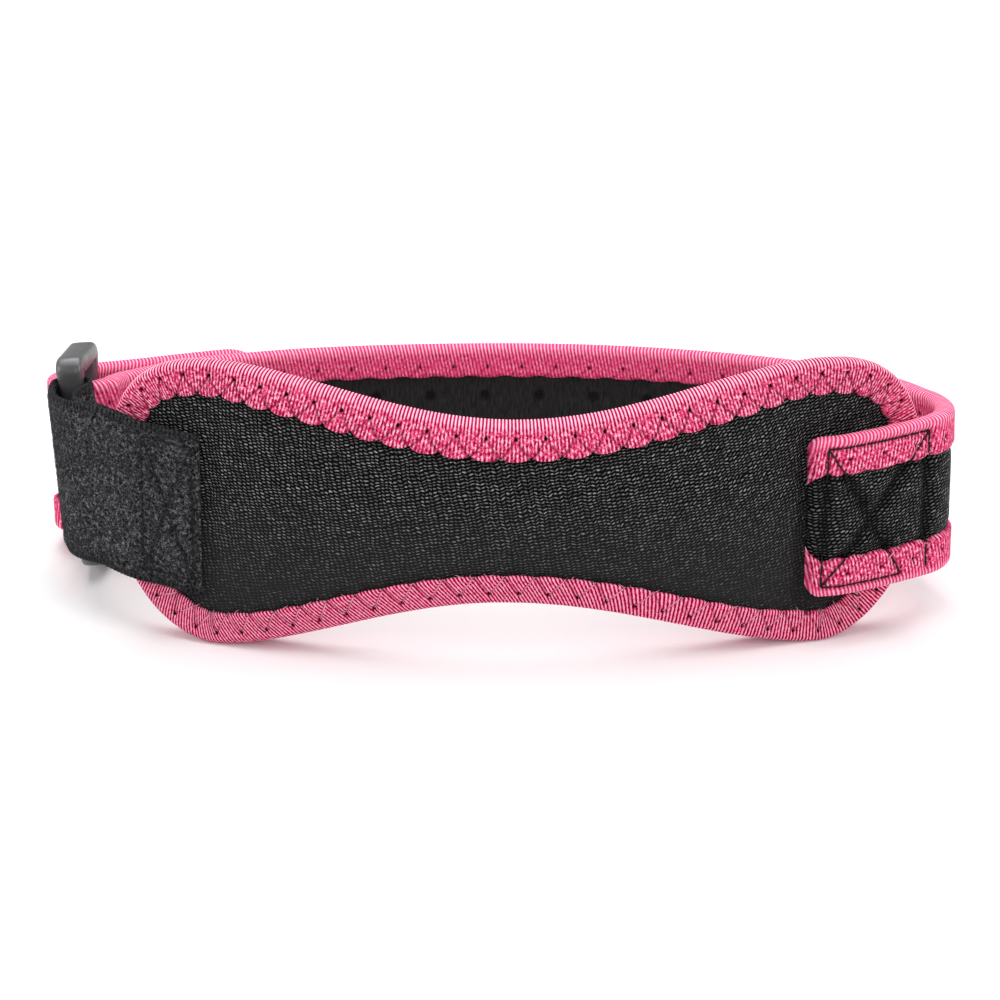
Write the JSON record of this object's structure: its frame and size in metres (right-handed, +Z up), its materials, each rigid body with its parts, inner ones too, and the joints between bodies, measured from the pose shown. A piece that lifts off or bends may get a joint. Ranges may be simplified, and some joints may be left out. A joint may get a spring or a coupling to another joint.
{
  "type": "patellar tendon knee strap",
  "caption": "Padded bow-tie panel with a bound edge on a bound strap loop, closed by a tape loop and a plastic ring; worn just below the kneecap.",
  "frame": {"origin": "middle of the strap's box, on the surface it rests on", "axes": "+X to the wearer's left when worn, along the pad; +Y from the pad to the back of the knee; +Z up"},
  "size_m": [0.203, 0.0866, 0.0621],
  "materials": {
    "pad_knit": "matte knitted cover over foam",
    "strap_knit": "matte knitted cover",
    "pink_binding": "ribbed elastic tape",
    "loop_tape": "napped loop pile",
    "ring_plastic": "satin moulded"
  },
  "bodies": {
    "root": {"front_pad": "pad_knit", "pad_binding": "pink_binding", "back_strap": "strap_knit", "strap_binding_top": "pink_binding", "strap_binding_bottom": "pink_binding", "buckle_tape": "loop_tape", "buckle": "ring_plastic"}
  },
  "joints": []
}
